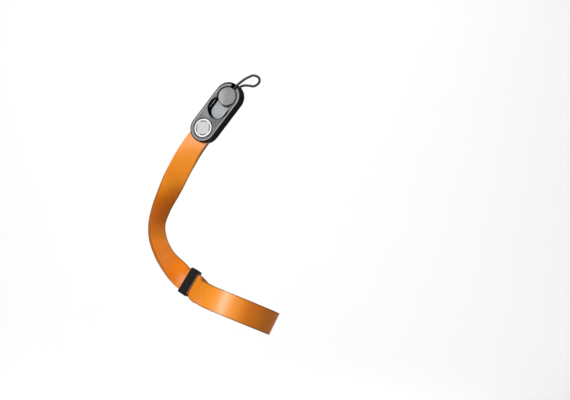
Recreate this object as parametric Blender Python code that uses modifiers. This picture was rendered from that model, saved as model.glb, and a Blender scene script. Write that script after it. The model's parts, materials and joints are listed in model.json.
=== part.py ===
# Camera wrist strap: one leather strip folded into a wrist loop and a double lead, a black keeper
# where the loop closes, and a coupling housing that grips both ends of the strip under a rivet cap.
# The housing holds a disc on a short cord, and a sprung button in front of the disc.
# Metres, +Z up. The origin is the middle of the wrist loop, +X is right and -Y is the front.

import bpy
import bmesh
from collections import namedtuple
from math import cos, pi, radians, sin
from mathutils import Matrix, Vector
from mathutils.geometry import interpolate_bezier

MM = 0.001

# Leather strip
STRAP_WIDTH = 15.8 * MM
STRAP_THICK = 1.1 * MM
LAYER_GAP = 0.3 * MM
STRAP_EDGE = 0.25 * MM
SECTION_STEP = 2.6 * MM

# Wrist loop, in its own leaning plane
LOOP_LENGTH = 60.0 * MM
LOOP_DEPTH = 45.0 * MM
LOOP_LEAN = 22.4
LOOP_AWAY = 5.0
LOOP_SWING = 16.7

# Double lead between the keeper and the housing
LEAD_LENGTH = 115.0 * MM

# Keeper
KEEPER_LENGTH = 7.2 * MM
KEEPER_SIDE_WALL = 1.4 * MM
KEEPER_FACE_WALL = 1.2 * MM
KEEPER_ROUND = 0.9 * MM
KEEPER_DROP = 31.0
KEEPER_FORWARD = 22.0
KEEPER_ROLL = 0.0

# Housing
HOUSING_RADIUS = 9.7 * MM
HOUSING_SPACING = 27.2 * MM
HOUSING_LEAN = 37.6
HOUSING_FORWARD = 6.0
HOUSING_ROLL = -21.0
BASE_HEIGHT = 5.2 * MM
FLOOR = 1.3 * MM
COVER_THICK = 2.3 * MM
BASE_ROUND = 0.9 * MM
COVER_ROUND = 0.6 * MM
CLEARANCE = 0.3 * MM

# Rivet through the cover, both strap ends and the base
CAP_RADIUS = 6.35 * MM
CAP_THICK = 1.3 * MM
CAP_PROUD = 0.25 * MM
CAP_RIM = 0.8 * MM
CAP_DISH = 0.2 * MM
CAP_GROOVE = 0.55 * MM
SHANK_RADIUS = 1.9 * MM
TAIL_RADIUS = 3.4 * MM
TAIL_THICK = 0.5 * MM
STRAP_TAIL = 4.8 * MM

# Keyhole, disc, button and cord
WELL_RADIUS = 7.85 * MM
WELL_AT = 17.0 * MM
NOTCH_WIDTH = 4.8 * MM
DISC_AT = 26.6 * MM
DISC_RADIUS = 6.4 * MM
DISC_SEAM = 0.8 * MM
DISC_PROUD = 0.2 * MM
DISC_FLANGE = 1.2 * MM
DISC_NECK_RADIUS = 5.2 * MM
BUTTON_RADIUS = 5.1 * MM
BUTTON_AT = 14.8 * MM
BUTTON_HEIGHT = 2.2 * MM
BUTTON_TRAVEL = 1.0 * MM
BUTTON_DISC_GAP = 0.45 * MM
BUTTON_GRIP = 0.4 * MM
PIN_RADIUS = 1.5 * MM
RAIL_WIDTH = 0.5 * MM
CORD_DIAMETER = 1.7 * MM
CORD_REACH = 20.0 * MM

ROUND_SEGMENTS = 48
PIN_SEGMENTS = 24
CURVE_PIECES = 12

# Rows of the lead from the keeper up: shares of LEAD_LENGTH from the keeper's middle, then the
# degrees that the right-hand edge is rolled away from the front
LeadRow = namedtuple("LeadRow", "right back up roll")
LEAD = [
    LeadRow(-0.094, 0.054, 0.080, 30),
    LeadRow(-0.156, 0.097, 0.155, 49),
    LeadRow(-0.200, 0.130, 0.250, 54),
    LeadRow(-0.208, 0.141, 0.340, 56),
    LeadRow(-0.183, 0.137, 0.430, 49),
    LeadRow(-0.136, 0.115, 0.530, 34),
    LeadRow(-0.072, 0.076, 0.657, 8),
    LeadRow(0.044, 0.016, 0.838, -21),
]

# Rows of the wrist loop from the keeper, round the front and back again: along and across are shares
# of LOOP_LENGTH and LOOP_DEPTH, lift is a share of STRAP_WIDTH above the loop's plane, then the
# degrees that the strip's upper edge leans to the right and away from the front
LoopRow = namedtuple("LoopRow", "along across lift lean away")
LOOP = [
    LoopRow(-0.486, 0.035, 0.085, 25, 7),
    LoopRow(-0.330, -0.200, 0.03, 24, 4),
    LoopRow(-0.170, -0.425, 0.00, 22, 2),
    LoopRow(0.020, -0.500, 0.00, 22, 1),
    LoopRow(0.220, -0.450, 0.00, 23, 1),
    LoopRow(0.390, -0.280, 0.00, 25, 2),
    LoopRow(0.490, 0.000, 0.00, 27, 4),
    LoopRow(0.410, 0.290, 0.00, 25, 7),
    LoopRow(0.220, 0.460, 0.00, 23, 9),
    LoopRow(0.000, 0.500, 0.00, 22, 9),
    LoopRow(-0.180, 0.400, 0.00, 22, 9),
    LoopRow(-0.320, 0.205, 0.01, 23, 8),
    LoopRow(-0.460, 0.125, 0.075, 25, 6),
]

# The keeper's middle: shares of LOOP_LENGTH, LOOP_DEPTH and STRAP_WIDTH in the loop's frame
KeeperPlace = namedtuple("KeeperPlace", "along across lift")
KEEPER_PLACE = KeeperPlace(-0.624, 0.110, 0.28)

# The cord's way out of the notch, as shares of CORD_REACH: along the housing and to its right, for
# the line midway between its two strands, and each strand's distance from that line
CordRow = namedtuple("CordRow", "along right spread")
CORD = [
    CordRow(0.00, 0.00, 0.055),
    CordRow(0.22, 0.02, 0.056),
    CordRow(0.40, 0.09, 0.085),
    CordRow(0.57, 0.22, 0.145),
    CordRow(0.72, 0.38, 0.180),
]

Knot = namedtuple("Knot", "point across heading")
Section = namedtuple("Section", "point across heading")

# Sizes that follow from the ones above
SLOT_HEIGHT = 2 * STRAP_THICK + LAYER_GAP + 2 * CLEARANCE
SLOT_WIDTH = STRAP_WIDTH + 2 * CLEARANCE
STRAP_LEVEL = FLOOR + SLOT_HEIGHT / 2
COVER_BOTTOM = BASE_HEIGHT + CLEARANCE
COVER_TOP = COVER_BOTTOM + COVER_THICK
MOUTH_REACH = HOUSING_RADIUS
DISC_HOLE_RADIUS = DISC_RADIUS + DISC_SEAM
DISC_FLOOR = FLOOR + CLEARANCE
LIP_BOTTOM = DISC_FLOOR + DISC_FLANGE + CLEARANCE
LIP_TOP = LIP_BOTTOM + CORD_DIAMETER
CORD_LEVEL = (LIP_BOTTOM + LIP_TOP) / 2
POCKET_WIDTH = DISC_RADIUS + CLEARANCE
RAIL_FACE = POCKET_WIDTH + CLEARANCE / 2
HALF_RAIL = (WELL_RADIUS ** 2 - RAIL_FACE ** 2) ** 0.5 + CLEARANCE
WELL_FLOOR = FLOOR - CLEARANCE
BUTTON_BOTTOM = WELL_FLOOR + BUTTON_TRAVEL + CLEARANCE
BUTTON_TOP = BUTTON_BOTTOM + BUTTON_HEIGHT
BUTTON_BORE = BUTTON_TRAVEL + BUTTON_GRIP + CLEARANCE


def unit_from_angles(lean, away):
    """A direction near +Z that leans to the right and away from the front, in degrees."""
    lean, away = radians(lean), radians(away)
    return Vector((sin(lean) * cos(away), sin(away), cos(lean) * cos(away)))


def rolled_across(heading, roll):
    """The strip's right-hand direction where it runs along heading, rolled away by some degrees."""
    level = Vector((0, 1, 0)).cross(heading).normalized()
    away = heading.cross(level)
    return level * cos(radians(roll)) + away * sin(radians(roll))


def frame_matrix(origin, across, heading):
    """A frame whose X is across, whose Y is heading and whose Z is the front of the strip."""
    front = across.cross(heading).normalized()
    matrix = Matrix((across, heading, front)).transposed().to_4x4()
    matrix.translation = origin
    return matrix


LOOP_UP = unit_from_angles(LOOP_LEAN, LOOP_AWAY)
LOOP_ALONG = Vector((cos(radians(LOOP_SWING)), -sin(radians(LOOP_SWING)), 0))
LOOP_ALONG = (LOOP_ALONG - LOOP_UP * LOOP_ALONG.dot(LOOP_UP)).normalized()
LOOP_ACROSS = LOOP_UP.cross(LOOP_ALONG)


def loop_point(row):
    """World point of a row of the loop table."""
    flat = LOOP_ALONG * (row.along * LOOP_LENGTH) + LOOP_ACROSS * (row.across * LOOP_DEPTH)
    return flat + LOOP_UP * (row.lift * STRAP_WIDTH)


KEEPER_MIDDLE = loop_point(KEEPER_PLACE)
KEEPER_HEADING = Vector((
    -cos(radians(KEEPER_FORWARD)) * cos(radians(KEEPER_DROP)),
    sin(radians(KEEPER_FORWARD)),
    cos(radians(KEEPER_FORWARD)) * sin(radians(KEEPER_DROP)),
))
KEEPER_ACROSS = rolled_across(KEEPER_HEADING, KEEPER_ROLL)


def lead_point(row):
    """World point of a row of the lead table."""
    return KEEPER_MIDDLE + Vector((row.right, row.back, row.up)) * LEAD_LENGTH


HOUSING_HEADING = unit_from_angles(HOUSING_LEAN, -HOUSING_FORWARD)
HOUSING_ACROSS = rolled_across(HOUSING_HEADING, HOUSING_ROLL)
HOUSING_FRONT = HOUSING_ACROSS.cross(HOUSING_HEADING)
HOUSING_MOUTH = lead_point(LEAD[-1])
RIVET_POINT = HOUSING_MOUTH + HOUSING_HEADING * MOUTH_REACH


def housing_matrix():
    """The housing's frame: the rivet's axis on the back face, Y along the housing, Z its front."""
    origin = RIVET_POINT - HOUSING_FRONT * STRAP_LEVEL
    return frame_matrix(origin, HOUSING_ACROSS, HOUSING_HEADING)


def keeper_matrix():
    """The keeper's frame at its middle, Y up the lead."""
    return frame_matrix(KEEPER_MIDDLE, KEEPER_ACROSS, KEEPER_HEADING)


def smooth_run(knots):
    """Points and right-hand directions of a smooth curve through the knots, closely spaced."""
    chords = [(b.point - a.point).length for a, b in zip(knots, knots[1:])]

    def slope(values, i):
        behind = (values[i] - values[i - 1]) / chords[i - 1] if i else None
        ahead = (values[i + 1] - values[i]) / chords[i] if i < len(chords) else None
        if behind is None or ahead is None:
            return ahead or behind
        return (behind * chords[i] + ahead * chords[i - 1]) / (chords[i] + chords[i - 1])

    def run(values, slopes):
        points = [values[0]]
        for i, chord in enumerate(chords):
            before = values[i] + slopes[i] * chord / 3
            after = values[i + 1] - slopes[i + 1] * chord / 3
            points += interpolate_bezier(values[i], before, after, values[i + 1], CURVE_PIECES + 1)[1:]
        return points

    places = [knot.point for knot in knots]
    sides = [knot.across for knot in knots]
    headings = [knot.heading or slope(places, i) for i, knot in enumerate(knots)]
    turns = [slope(sides, i) for i in range(len(knots))]
    return run(places, headings), run(sides, turns)


def even_sections(knots, step):
    """Sections at even distances along the smooth curve through the knots, ends included."""
    points, sides = smooth_run(knots)
    lengths = [0.0]
    for a, b in zip(points, points[1:]):
        lengths.append(lengths[-1] + (b - a).length)
    count = max(2, round(lengths[-1] / step))
    sections = []
    j = 0
    for i in range(count + 1):
        target = lengths[-1] * i / count
        while j < len(lengths) - 2 and lengths[j + 1] < target:
            j += 1
        share = (target - lengths[j]) / (lengths[j + 1] - lengths[j])
        heading = (points[j + 1] - points[j]).normalized()
        across = sides[j].lerp(sides[j + 1], share)
        across = (across - heading * across.dot(heading)).normalized()
        sections.append(Section(points[j].lerp(points[j + 1], share), across, heading))
    return sections


def lead_knots():
    """Knots up the lead: through the keeper, along the table, into the housing and past the rivet."""
    half = KEEPER_HEADING * (KEEPER_LENGTH / 2)
    knots = [
        Knot(KEEPER_MIDDLE - half, KEEPER_ACROSS, KEEPER_HEADING),
        Knot(KEEPER_MIDDLE + half, KEEPER_ACROSS, KEEPER_HEADING),
    ]
    places = [knots[-1].point] + [lead_point(row) for row in LEAD]
    for i, row in enumerate(LEAD[:-1], start=1):
        heading = (places[i + 1] - places[i - 1]).normalized()
        knots.append(Knot(places[i], rolled_across(heading, row.roll), None))
    tail = RIVET_POINT + HOUSING_HEADING * STRAP_TAIL
    knots.append(Knot(HOUSING_MOUTH, HOUSING_ACROSS, HOUSING_HEADING))
    knots.append(Knot(tail, HOUSING_ACROSS, HOUSING_HEADING))
    return knots


def loop_knots():
    """Knots round the loop, from the keeper's mouth by the front and back to the mouth."""
    mouth = KEEPER_MIDDLE - KEEPER_HEADING * (KEEPER_LENGTH / 2)
    knots = [Knot(mouth, KEEPER_ACROSS, -KEEPER_HEADING)]
    for row in LOOP:
        knots.append(Knot(loop_point(row), unit_from_angles(row.lean, row.away), None))
    knots.append(Knot(mouth, KEEPER_ACROSS, KEEPER_HEADING))
    return knots


def strip_sections():
    """Sections of the whole strip: down the front layer, round the loop and up the back layer."""
    lead = even_sections(lead_knots(), SECTION_STEP)
    loop = even_sections(loop_knots(), SECTION_STEP)
    down = [Section(s.point, s.across, -s.heading) for s in reversed(lead)]
    middle = (LAYER_GAP + STRAP_THICK) / 2
    sections = []
    for section in down + loop[1:-1] + lead:
        outward = section.heading.cross(section.across)
        sections.append(Section(section.point + outward * middle, section.across, section.heading))
    return sections


def clear_scene():
    """Remove what the file starts with."""
    for item in list(bpy.data.objects):
        bpy.data.objects.remove(item, do_unlink=True)


def collection(name):
    """A new collection in the scene."""
    made = bpy.data.collections.new(name)
    bpy.context.scene.collection.children.link(made)
    return made


def material(name, colour, roughness, metallic=0.0):
    """A plain material of one colour."""
    made = bpy.data.materials.new(name)
    made.use_nodes = True
    shader = made.node_tree.nodes["Principled BSDF"]
    shader.inputs["Base Color"].default_value = (*colour, 1)
    shader.inputs["Roughness"].default_value = roughness
    shader.inputs["Metallic"].default_value = metallic
    return made


def add_object(name, bm, group, finish=None, parent=None):
    """An object from a bmesh, in a collection, with its finish."""
    mesh = bpy.data.meshes.new(name)
    bm.to_mesh(mesh)
    bm.free()
    item = bpy.data.objects.new(name, mesh)
    group.objects.link(item)
    item.parent = parent
    if finish:
        mesh.materials.append(finish)
    return item


def add_cutter(name, bm, parent=None):
    """A hidden shape that a Boolean takes from a piece."""
    item = add_object(name, bm, CUTTERS, parent=parent)
    item.hide_render = True
    item.display_type = "WIRE"
    return item


def boolean(item, cutter, operation="DIFFERENCE"):
    """Cut a shape from a piece, or join it on."""
    modifier = item.modifiers.new(cutter.name, "BOOLEAN")
    modifier.operation = operation
    modifier.object = cutter


def bevel(item, width, segments=2, angle=50):
    """Round a piece's sharp edges."""
    modifier = item.modifiers.new("rounded edges", "BEVEL")
    modifier.width = width
    modifier.segments = segments
    modifier.limit_method = "ANGLE"
    modifier.angle_limit = radians(angle)


def smooth_shading(item, angle=35):
    """Smooth shading with sharp corners kept."""
    item.data.shade_smooth()
    item.data.set_sharp_from_angle(angle=radians(angle))


def box(size, centre):
    """A box as a bmesh."""
    bm = bmesh.new()
    bmesh.ops.create_cube(bm, size=1, matrix=Matrix.Translation(centre) @ Matrix.Diagonal((*size, 1)))
    return bm


def cylinder(radius, bottom, top, along=0.0, segments=ROUND_SEGMENTS):
    """An upright cylinder at a distance along the housing, as a bmesh."""
    bm = bmesh.new()
    place = Matrix.Translation((0, along, (bottom + top) / 2))
    bmesh.ops.create_cone(bm, cap_ends=True, segments=segments, radius1=radius, radius2=radius,
                          depth=top - bottom, matrix=place)
    return bm


def long_round(radius, bottom, top, start, spacing):
    """A prism with two round ends, their centres spacing apart along Y."""
    bm = bmesh.new()
    half_turn = Matrix.Rotation(pi / ROUND_SEGMENTS, 4, "Z")
    bmesh.ops.create_circle(bm, cap_ends=True, segments=ROUND_SEGMENTS, radius=radius, matrix=half_turn)
    far_half = [vertex for vertex in bm.verts if vertex.co.y > 0]
    bmesh.ops.translate(bm, verts=far_half, vec=(0, spacing, 0))
    bmesh.ops.translate(bm, verts=bm.verts, vec=(0, start, bottom))
    raised = bmesh.ops.extrude_face_region(bm, geom=bm.faces[:])["geom"]
    lifted = [item for item in raised if isinstance(item, bmesh.types.BMVert)]
    bmesh.ops.translate(bm, verts=lifted, vec=(0, 0, top - bottom))
    bmesh.ops.recalc_face_normals(bm, faces=bm.faces)
    return bm


def round_rim(bm, level, width, segments=2):
    """Bevel the edges of a prism that lie at one level."""
    edges = [edge for edge in bm.edges if all(abs(v.co.z - level) < width / 10 for v in edge.verts)]
    bmesh.ops.bevel(bm, geom=edges, offset=width, offset_type="OFFSET", segments=segments, profile=0.5,
                    affect="EDGES", material=-1)


def turned(name, profile, steps, group, finish, parent):
    """A solid turned about its own Z from a profile of (radius, height) pairs, top to bottom."""
    bm = bmesh.new()
    ring = [bm.verts.new((radius, 0, height)) for radius, height in profile]
    for a, b in zip(ring, ring[1:]):
        bm.edges.new((a, b))
    item = add_object(name, bm, group, finish, parent)
    screw = item.modifiers.new("turned", "SCREW")
    screw.steps = steps
    screw.render_steps = steps
    screw.use_merge_vertices = True
    screw.merge_threshold = 0.00001
    return item


def make_strap():
    """The leather strip: an edge swept along the course, thickened, with burnished edges."""
    sections = strip_sections()
    bm = bmesh.new()
    half = STRAP_WIDTH / 2
    first = sections[0]
    side = [bm.verts.new(first.point + first.across * reach) for reach in (-half, half)]
    edge = bm.edges.new(side)
    for section in sections[1:]:
        made = bmesh.ops.extrude_edge_only(bm, edges=[edge])["geom"]
        edge = next(item for item in made if isinstance(item, bmesh.types.BMEdge))
        ends = sorted(edge.verts, key=lambda v: (v.co - section.point).dot(section.across))
        for vertex, reach in zip(ends, (-half, half)):
            vertex.co = section.point + section.across * reach
    bmesh.ops.recalc_face_normals(bm, faces=bm.faces)
    strap = add_object("strap", bm, PIECES, LEATHER)
    shell = strap.modifiers.new("leather thickness", "SOLIDIFY")
    shell.thickness = STRAP_THICK
    shell.offset = 0
    shell.use_even_offset = True
    bevel(strap, STRAP_EDGE, segments=1, angle=60)
    hole = cylinder(SHANK_RADIUS + CLEARANCE, 0, BASE_HEIGHT, segments=PIN_SEGMENTS)
    boolean(strap, add_cutter("strap_hole_cutter", hole, HOUSING))
    return strap


def make_keeper():
    """The keeper: a rounded black sleeve round both layers."""
    inner_width = STRAP_WIDTH + 2 * CLEARANCE
    inner_height = 2 * STRAP_THICK + LAYER_GAP + 2 * CLEARANCE
    outer = (inner_width + 2 * KEEPER_SIDE_WALL, KEEPER_LENGTH, inner_height + 2 * KEEPER_FACE_WALL)
    keeper = add_object("keeper", box(outer, (0, 0, 0)), PIECES, BLACK, KEEPER)
    bevel(keeper, KEEPER_ROUND, segments=3)
    slot = add_cutter("keeper_slot_cutter", box((inner_width, 2 * KEEPER_LENGTH, inner_height), (0, 0, 0)),
                      KEEPER)
    boolean(keeper, slot)
    smooth_shading(keeper)
    return keeper


def make_base():
    """The black base: slot for the strap ends, lipped pocket for the disc, rails, pin and notch."""
    body = long_round(HOUSING_RADIUS, 0, BASE_HEIGHT, 0, HOUSING_SPACING)
    round_rim(body, 0, BASE_ROUND)
    base = add_object("housing_base", body, PIECES, BLACK, HOUSING)
    over = COVER_TOP + CLEARANCE
    slot_end = STRAP_TAIL + CLEARANCE
    slot_start = -HOUSING_RADIUS - CLEARANCE
    slot = box((SLOT_WIDTH, slot_end - slot_start, SLOT_HEIGHT), (0, (slot_end + slot_start) / 2, STRAP_LEVEL))
    pocket_run = DISC_AT - WELL_AT
    lip_slot = DISC_NECK_RADIUS + CLEARANCE
    shapes = {
        "strap_slot": slot,
        "rivet_hole": cylinder(SHANK_RADIUS + CLEARANCE, -CLEARANCE, over, segments=PIN_SEGMENTS),
        "rivet_tail_recess": cylinder(TAIL_RADIUS + CLEARANCE, -CLEARANCE, TAIL_THICK + CLEARANCE),
        "button_well": cylinder(WELL_RADIUS, WELL_FLOOR, over, WELL_AT),
        "flange_pocket": long_round(POCKET_WIDTH, FLOOR, LIP_BOTTOM, WELL_AT, pocket_run),
        "lip_slot": long_round(lip_slot, DISC_FLOOR, LIP_TOP + CLEARANCE, WELL_AT, pocket_run),
        "disc_pocket": long_round(DISC_HOLE_RADIUS, LIP_TOP, over, WELL_AT, pocket_run),
    }
    for name, shape in shapes.items():
        boolean(base, add_cutter(name + "_cutter", shape, HOUSING))
    boolean(base, notch_cutter("base_notch_cutter", LIP_BOTTOM - CLEARANCE))
    rail_bottom = WELL_FLOOR - CLEARANCE
    rail_height = LIP_TOP - CLEARANCE - rail_bottom
    for side in (-1, 1):
        centre = (side * (RAIL_FACE + RAIL_WIDTH / 2), WELL_AT, rail_bottom + rail_height / 2)
        rail = box((RAIL_WIDTH, 2 * HALF_RAIL, rail_height), centre)
        boolean(base, add_cutter(f"rail_{side}", rail, HOUSING), "UNION")
    pin = cylinder(PIN_RADIUS, WELL_FLOOR - CLEARANCE, BUTTON_BOTTOM + BUTTON_GRIP, BUTTON_AT, PIN_SEGMENTS)
    boolean(base, add_cutter("guide_pin", pin, HOUSING), "UNION")
    smooth_shading(base)
    return base


def notch_cutter(name, bottom):
    """The open notch at the housing's far end, where the cord leaves."""
    start = DISC_AT
    end = HOUSING_SPACING + HOUSING_RADIUS + CLEARANCE
    top = COVER_TOP + CLEARANCE
    shape = box((NOTCH_WIDTH, end - start, top - bottom), (0, (start + end) / 2, (top + bottom) / 2))
    return add_cutter(name, shape, HOUSING)


def make_cover():
    """The grey cover plate with its keyhole opening, notch and recess for the cap."""
    plate = long_round(HOUSING_RADIUS, COVER_BOTTOM, COVER_TOP, 0, HOUSING_SPACING)
    round_rim(plate, COVER_TOP, COVER_ROUND)
    cover = add_object("housing_cover", plate, PIECES, GREY, HOUSING)
    over = COVER_TOP + CLEARANCE
    under = COVER_BOTTOM - CLEARANCE
    recess_floor = COVER_TOP + CAP_PROUD - CAP_THICK - CLEARANCE
    shapes = {
        "keyhole_well": cylinder(WELL_RADIUS, under, over, WELL_AT),
        "keyhole_disc": cylinder(DISC_HOLE_RADIUS, under, over, DISC_AT),
        "cap_recess": cylinder(CAP_RADIUS + CAP_GROOVE, recess_floor, over),
        "shank_hole": cylinder(SHANK_RADIUS + CLEARANCE, under, over, segments=PIN_SEGMENTS),
    }
    for name, shape in shapes.items():
        boolean(cover, add_cutter(name + "_cutter", shape, HOUSING))
    boolean(cover, notch_cutter("cover_notch_cutter", under))
    smooth_shading(cover)
    return cover


def make_rivet():
    """The silver cap with its shank and the turned-over tail at the back, in one piece."""
    top = COVER_TOP + CAP_PROUD
    rim = CAP_RADIUS - CAP_RIM
    chamfer = CAP_DISH
    profile = [
        (0, top - CAP_DISH), (rim - chamfer, top - CAP_DISH), (rim, top), (CAP_RADIUS - chamfer, top),
        (CAP_RADIUS, top - chamfer), (CAP_RADIUS, top - CAP_THICK), (SHANK_RADIUS, top - CAP_THICK),
        (SHANK_RADIUS, TAIL_THICK), (TAIL_RADIUS, TAIL_THICK), (TAIL_RADIUS, chamfer),
        (TAIL_RADIUS - chamfer, 0), (0, 0),
    ]
    rivet = turned("rivet_cap", profile, ROUND_SEGMENTS, PIECES, SILVER, HOUSING)
    smooth_shading(rivet)
    return rivet


def make_disc():
    """The coupling disc: a spool whose groove takes the base's lips."""
    top = COVER_TOP + DISC_PROUD
    chamfer = CLEARANCE
    flange_top = DISC_FLOOR + DISC_FLANGE
    profile = [
        (0, top), (DISC_RADIUS - chamfer, top), (DISC_RADIUS, top - chamfer),
        (DISC_RADIUS, LIP_TOP + CLEARANCE), (DISC_NECK_RADIUS, LIP_TOP + CLEARANCE),
        (DISC_NECK_RADIUS, flange_top), (DISC_RADIUS, flange_top), (DISC_RADIUS, DISC_FLOOR),
        (0, DISC_FLOOR),
    ]
    disc = turned("anchor_disc", profile, ROUND_SEGMENTS, PIECES, GREY, HOUSING)
    disc.location = (0, DISC_AT, 0)
    smooth_shading(disc)
    return disc


def make_button():
    """The release button: round in front, hollowed round the disc, with a bore for its guide pin."""
    pivot = bpy.data.objects.new("button_frame", None)
    PIECES.objects.link(pivot)
    pivot.parent = HOUSING
    pivot.location = (0, BUTTON_AT, BUTTON_TOP)
    body = long_round(BUTTON_RADIUS, -BUTTON_HEIGHT, 0, 0, DISC_AT - BUTTON_AT - BUTTON_RADIUS)
    round_rim(body, 0, CLEARANCE)
    button = add_object("release_button", body, PIECES, PALE, pivot)
    disc_space = cylinder(DISC_RADIUS + BUTTON_DISC_GAP, -2 * BUTTON_HEIGHT, BUTTON_HEIGHT,
                          DISC_AT - BUTTON_AT)
    bore = cylinder(PIN_RADIUS + CLEARANCE, -2 * BUTTON_HEIGHT, BUTTON_BORE - BUTTON_HEIGHT,
                    segments=PIN_SEGMENTS)
    boolean(button, add_cutter("disc_space_cutter", disc_space, pivot))
    boolean(button, add_cutter("button_bore_cutter", bore, pivot))
    smooth_shading(button)
    return button


def cord_path():
    """Points of the cord: out of the notch on one side, round the end and back on the other."""
    neck = DISC_AT + DISC_NECK_RADIUS + CLEARANCE
    places = [Vector((row.right * CORD_REACH, neck + row.along * CORD_REACH, CORD_LEVEL)) for row in CORD]
    right_strand, left_strand = [], []
    for i, (place, row) in enumerate(zip(places, CORD)):
        heading = (places[min(i + 1, len(places) - 1)] - places[max(i - 1, 0)]).normalized()
        aside = heading.cross(Vector((0, 0, 1))) * (row.spread * CORD_REACH)
        right_strand.append(place + aside)
        left_strand.append(place - aside)
    tip = places[-1] + heading * aside.length
    route = right_strand + [tip] + left_strand[::-1]
    knots = [Knot(point, Vector((0, 0, 1)), None) for point in route]
    return [section.point for section in even_sections(knots, CORD_DIAMETER)]


def make_cord():
    """The black cord through the disc's neck, standing out of the notch as a loop."""
    path = cord_path()
    curve = bpy.data.curves.new("anchor_cord", "CURVE")
    curve.dimensions = "3D"
    spline = curve.splines.new("POLY")
    spline.points.add(len(path) - 1)
    for point, place in zip(spline.points, path):
        point.co = (*place, 1)
    curve.bevel_depth = CORD_DIAMETER / 2
    curve.bevel_resolution = 2
    curve.use_fill_caps = True
    curve.materials.append(BLACK)
    cord = bpy.data.objects.new("anchor_cord", curve)
    PIECES.objects.link(cord)
    cord.parent = HOUSING
    return cord


def add_frame(name, matrix):
    """An empty that carries the pieces of one place."""
    empty = bpy.data.objects.new(name, None)
    PIECES.objects.link(empty)
    empty.matrix_world = matrix
    return empty


clear_scene()
PIECES = collection("wrist_strap")
CUTTERS = collection("cutters")
LEATHER = material("tan leather", (0.72, 0.27, 0.05), 0.45)
BLACK = material("black plastic", (0.02, 0.018, 0.018), 0.5)
GREY = material("grey metal", (0.22, 0.22, 0.23), 0.45, 0.6)
PALE = material("pale grey metal", (0.40, 0.42, 0.43), 0.45, 0.5)
SILVER = material("silver", (0.80, 0.80, 0.79), 0.25, 1.0)
KEEPER = add_frame("keeper_frame", keeper_matrix())
HOUSING = add_frame("housing_frame", housing_matrix())
make_strap()
make_keeper()
make_base()
make_cover()
make_rivet()
make_disc()
make_button()
make_cord()
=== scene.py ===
# Camera wrist strap: leather, keeper and coupling housing, with the loop open and seen from the front
import json
from math import cos, pi, radians, sin

import bmesh
import bpy
from mathutils import Matrix, Vector
from mathutils.geometry import interpolate_bezier


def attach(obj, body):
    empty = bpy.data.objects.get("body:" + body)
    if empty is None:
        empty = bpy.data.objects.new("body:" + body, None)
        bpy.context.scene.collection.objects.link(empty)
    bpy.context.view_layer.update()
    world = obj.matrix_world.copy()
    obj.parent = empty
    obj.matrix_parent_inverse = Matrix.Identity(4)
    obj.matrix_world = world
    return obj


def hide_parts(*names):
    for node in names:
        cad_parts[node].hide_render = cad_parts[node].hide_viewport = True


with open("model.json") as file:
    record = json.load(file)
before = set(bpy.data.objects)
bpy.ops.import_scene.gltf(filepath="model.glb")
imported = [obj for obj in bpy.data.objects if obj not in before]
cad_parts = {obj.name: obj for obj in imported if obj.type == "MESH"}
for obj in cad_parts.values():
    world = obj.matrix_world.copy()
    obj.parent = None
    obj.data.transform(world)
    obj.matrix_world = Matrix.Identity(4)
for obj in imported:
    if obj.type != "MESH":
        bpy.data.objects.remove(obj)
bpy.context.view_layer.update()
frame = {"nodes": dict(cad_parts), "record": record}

nodes = frame["nodes"]
record = frame["record"]
mm = 0.001


# Camera, at the photograph's place and angle
camera = {"eye": (0.0348, -0.900, 0.0713), "lens": 85.2, "sensor": 36.0}


def addCamera(setup):
    data = bpy.data.cameras.new("camera")
    data.lens = setup["lens"]
    data.sensor_width = setup["sensor"]
    data.clip_start = 0.01
    eye = bpy.data.objects.new("camera", data)
    eye.location = setup["eye"]
    eye.rotation_euler = (pi / 2, 0, 0)  # level, looking along +Y
    bpy.context.scene.collection.objects.link(eye)
    bpy.context.scene.camera = eye


addCamera(camera)
print("camera set")


# Where the housing lies: X across it, Y towards its far end, Z out of its front
def axisPoint(node):  # a turned solid's middle, which is on its axis
    spots = sorted({tuple(round(c, 7) for c in vertex.co) for vertex in nodes[node].data.vertices})
    return sum((Vector(spot) for spot in spots), Vector()) / len(spots)


def housingFrame():
    back = next(mount for mount in record["mounts"] if mount["name"] == "housing_back")
    front = -Vector(back["axis"]).normalized()
    cap, disc = axisPoint("rivet_cap"), axisPoint("anchor_disc")
    run = disc - cap
    heading = (run - front * run.dot(front)).normalized()
    origin = cap - front * (cap - Vector(back["pos_m"])).dot(front)
    matrix = Matrix((heading.cross(front), heading, front)).transposed().to_4x4()
    matrix.translation = origin
    return matrix, run.dot(heading)


housing, discAt = housingFrame()
toHousing = housing.inverted()


# Node helpers for the materials. A noise is given as its scale, detail and roughness, and a bump as its
# depth and strength
def startMaterial(name, colour, roughness, metallic=0.0):
    material = bpy.data.materials.new(name)
    material.use_nodes = True
    shader = material.node_tree.nodes["Principled BSDF"]
    shader.inputs["Base Color"].default_value = (*colour, 1)
    shader.inputs["Roughness"].default_value = roughness
    shader.inputs["Metallic"].default_value = metallic
    return material, material.node_tree, shader


def addNode(tree, kind, inputs=None, **settings):
    node = tree.nodes.new(kind)
    for name, value in settings.items():
        setattr(node, name, value)
    for name, value in (inputs or {}).items():
        if isinstance(value, bpy.types.NodeSocket):
            tree.links.new(value, node.inputs[name])
        else:
            node.inputs[name].default_value = value
    return node


def objectSpots(tree, scale=(1, 1, 1), turn=None):  # object coordinates, turned to the housing if asked
    spots = addNode(tree, "ShaderNodeTexCoord").outputs["Object"]
    if turn:
        spots = addNode(tree, "ShaderNodeMapping", {"Vector": spots, "Rotation": turn}).outputs["Vector"]
    return addNode(tree, "ShaderNodeMapping", {"Vector": spots, "Scale": scale}).outputs["Vector"]


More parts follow.
